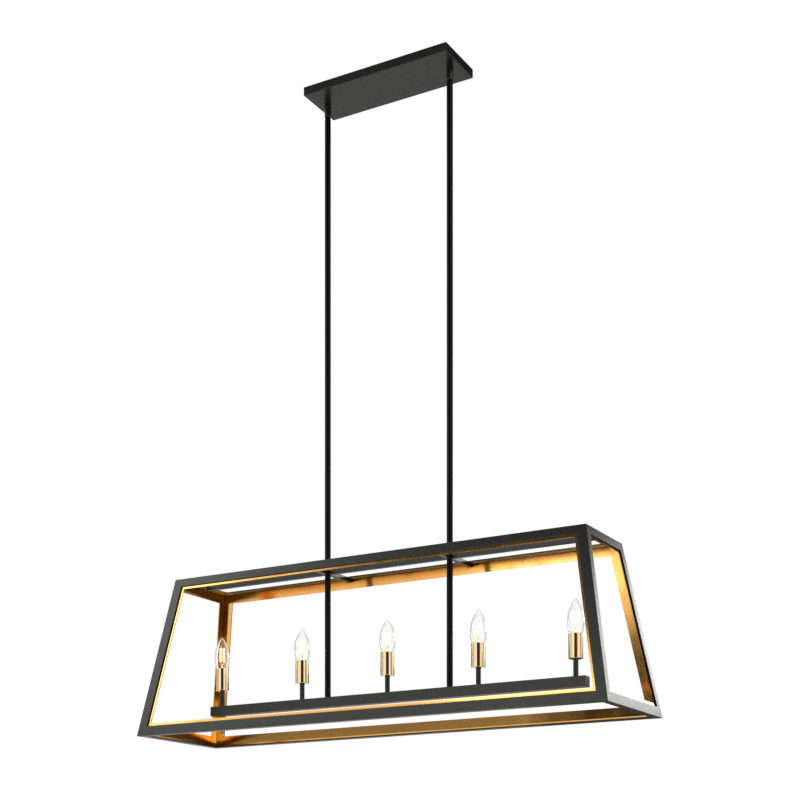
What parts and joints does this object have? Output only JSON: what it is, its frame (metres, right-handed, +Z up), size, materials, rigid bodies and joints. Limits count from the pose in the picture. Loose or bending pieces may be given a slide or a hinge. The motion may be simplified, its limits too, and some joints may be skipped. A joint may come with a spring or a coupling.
{
  "type": "linear island pendant",
  "caption": "Linear ceiling pendant: an open tapered frame of black angle bars with gold liners round a row of candle lamps, hung on two rigid rods with ball swivels under a canopy.",
  "frame": {"origin": "in the ceiling plane at the centre of the canopy, on top of the mounting bar", "axes": "+X along the pendant, +Y across it, +Z up towards the ceiling"},
  "size_m": [1.067, 0.276, 1.31],
  "materials": {
    "black_paint": "satin black powder coat on steel",
    "rod_paint": "satin black paint on steel tube",
    "gold": "gold plated steel strip, soft gloss",
    "polished_brass": "polished brass, lacquered",
    "plated_steel": "zinc plated steel",
    "phenolic": "black moulded phenolic",
    "base_metal": "nickel plated screw shell",
    "solder": "tinned contact",
    "clear_glass": "clear blown glass",
    "filament": "warm white phosphor coated filaments on fine wires",
    "wire_insulation": "black insulated wire",
    "connector_plastic": "orange twist-on connector",
    "green_screw": "green dyed steel screw"
  },
  "bodies": {
    "ceiling": {"canopy": "black_paint", "mounting_bar": "plated_steel", "canopy_screws": "black_paint", "ground_screw": "green_screw", "wire_connectors": "connector_plastic", "supply_leads": "wire_insulation", "swivel_collars": "black_paint", "swivel_bushes": "plated_steel"},
    "pendant": {"post_front_left": "black_paint", "post_front_right": "black_paint", "post_back_left": "black_paint", "post_back_right": "black_paint", "bottom_rail_front": "black_paint", "bottom_rail_back": "black_paint", "bottom_rail_left": "black_paint", "bottom_rail_right": "black_paint", "top_rail_front": "black_paint", "top_rail_back": "black_paint", "top_rail_left": "black_paint", "top_rail_right": "black_paint", "gold_post_liners": "gold", "gold_top_liners": "gold", "gold_bottom_liners": "gold", "top_centre_bar": "black_paint", "cross_bars": "black_paint", "light_bar": "black_paint", "light_bar_caps": "black_paint", "candle_stems": "black_paint", "rod_hubs": "rod_paint", "down_rod_left": "rod_paint", "down_rod_right": "rod_paint", "inner_rod_left": "rod_paint", "inner_rod_right": "rod_paint", "swivel_balls": "rod_paint", "bar_nuts": "plated_steel", "candle_nipples": "plated_steel", "candle_sleeves": "polished_brass", "sockets": "phenolic", "lamp_wiring": "wire_insulation"},
    "bulb_1_contact": {"bulb_contact_1": "solder"},
    "bulb_1": {"bulb_base_1": "base_metal", "bulb_glass_1": "clear_glass", "bulb_filament_1": "filament"},
    "bulb_2_contact": {"bulb_contact_2": "solder"},
    "bulb_2": {"bulb_base_2": "base_metal", "bulb_glass_2": "clear_glass", "bulb_filament_2": "filament"},
    "bulb_3_contact": {"bulb_contact_3": "solder"},
    "bulb_3": {"bulb_base_3": "base_metal", "bulb_glass_3": "clear_glass", "bulb_filament_3": "filament"},
    "bulb_4_contact": {"bulb_contact_4": "solder"},
    "bulb_4": {"bulb_base_4": "base_metal", "bulb_glass_4": "clear_glass", "bulb_filament_4": "filament"},
    "bulb_5_contact": {"bulb_contact_5": "solder"},
    "bulb_5": {"bulb_base_5": "base_metal", "bulb_glass_5": "clear_glass", "bulb_filament_5": "filament"}
  },
  "joints": [
    {"name": "pendant_swing", "type": "hinge", "parent": "ceiling", "child": "pendant", "pos_m": [0, 0, -0.036], "axis": [1, 0, 0], "range_deg": [-15, 15]},
    {"name": "bulb_1_rise", "type": "slide", "parent": "pendant", "child": "bulb_1_contact", "axis": [0, 0, 1], "range_m": [0, 0.0077]},
    {"name": "bulb_1_turn", "type": "hinge", "parent": "bulb_1_contact", "child": "bulb_1", "pos_m": [-0.412, 0, -1.184], "axis": [0, 0, 1], "range_deg": [0, 1080]},
    {"name": "bulb_2_rise", "type": "slide", "parent": "pendant", "child": "bulb_2_contact", "axis": [0, 0, 1], "range_m": [0, 0.0077]},
    {"name": "bulb_2_turn", "type": "hinge", "parent": "bulb_2_contact", "child": "bulb_2", "pos_m": [-0.206, 0, -1.184], "axis": [0, 0, 1], "range_deg": [0, 1080]},
    {"name": "bulb_3_rise", "type": "slide", "parent": "pendant", "child": "bulb_3_contact", "axis": [0, 0, 1], "range_m": [0, 0.0077]},
    {"name": "bulb_3_turn", "type": "hinge", "parent": "bulb_3_contact", "child": "bulb_3", "pos_m": [0, 0, -1.184], "axis": [0, 0, 1], "range_deg": [0, 1080]},
    {"name": "bulb_4_rise", "type": "slide", "parent": "pendant", "child": "bulb_4_contact", "axis": [0, 0, 1], "range_m": [0, 0.0077]},
    {"name": "bulb_4_turn", "type": "hinge", "parent": "bulb_4_contact", "child": "bulb_4", "pos_m": [0.206, 0, -1.184], "axis": [0, 0, 1], "range_deg": [0, 1080]},
    {"name": "bulb_5_rise", "type": "slide", "parent": "pendant", "child": "bulb_5_contact", "axis": [0, 0, 1], "range_m": [0, 0.0077]},
    {"name": "bulb_5_turn", "type": "hinge", "parent": "bulb_5_contact", "child": "bulb_5", "pos_m": [0.412, 0, -1.184], "axis": [0, 0, 1], "range_deg": [0, 1080]}
  ],
  "couplings": [
    {"joint": "bulb_1_rise", "follows": "bulb_1_turn", "m_per_rad": 0.00040425},
    {"joint": "bulb_2_rise", "follows": "bulb_2_turn", "m_per_rad": 0.00040425},
    {"joint": "bulb_3_rise", "follows": "bulb_3_turn", "m_per_rad": 0.00040425},
    {"joint": "bulb_4_rise", "follows": "bulb_4_turn", "m_per_rad": 0.00040425},
    {"joint": "bulb_5_rise", "follows": "bulb_5_turn", "m_per_rad": 0.00040425}
  ]
}
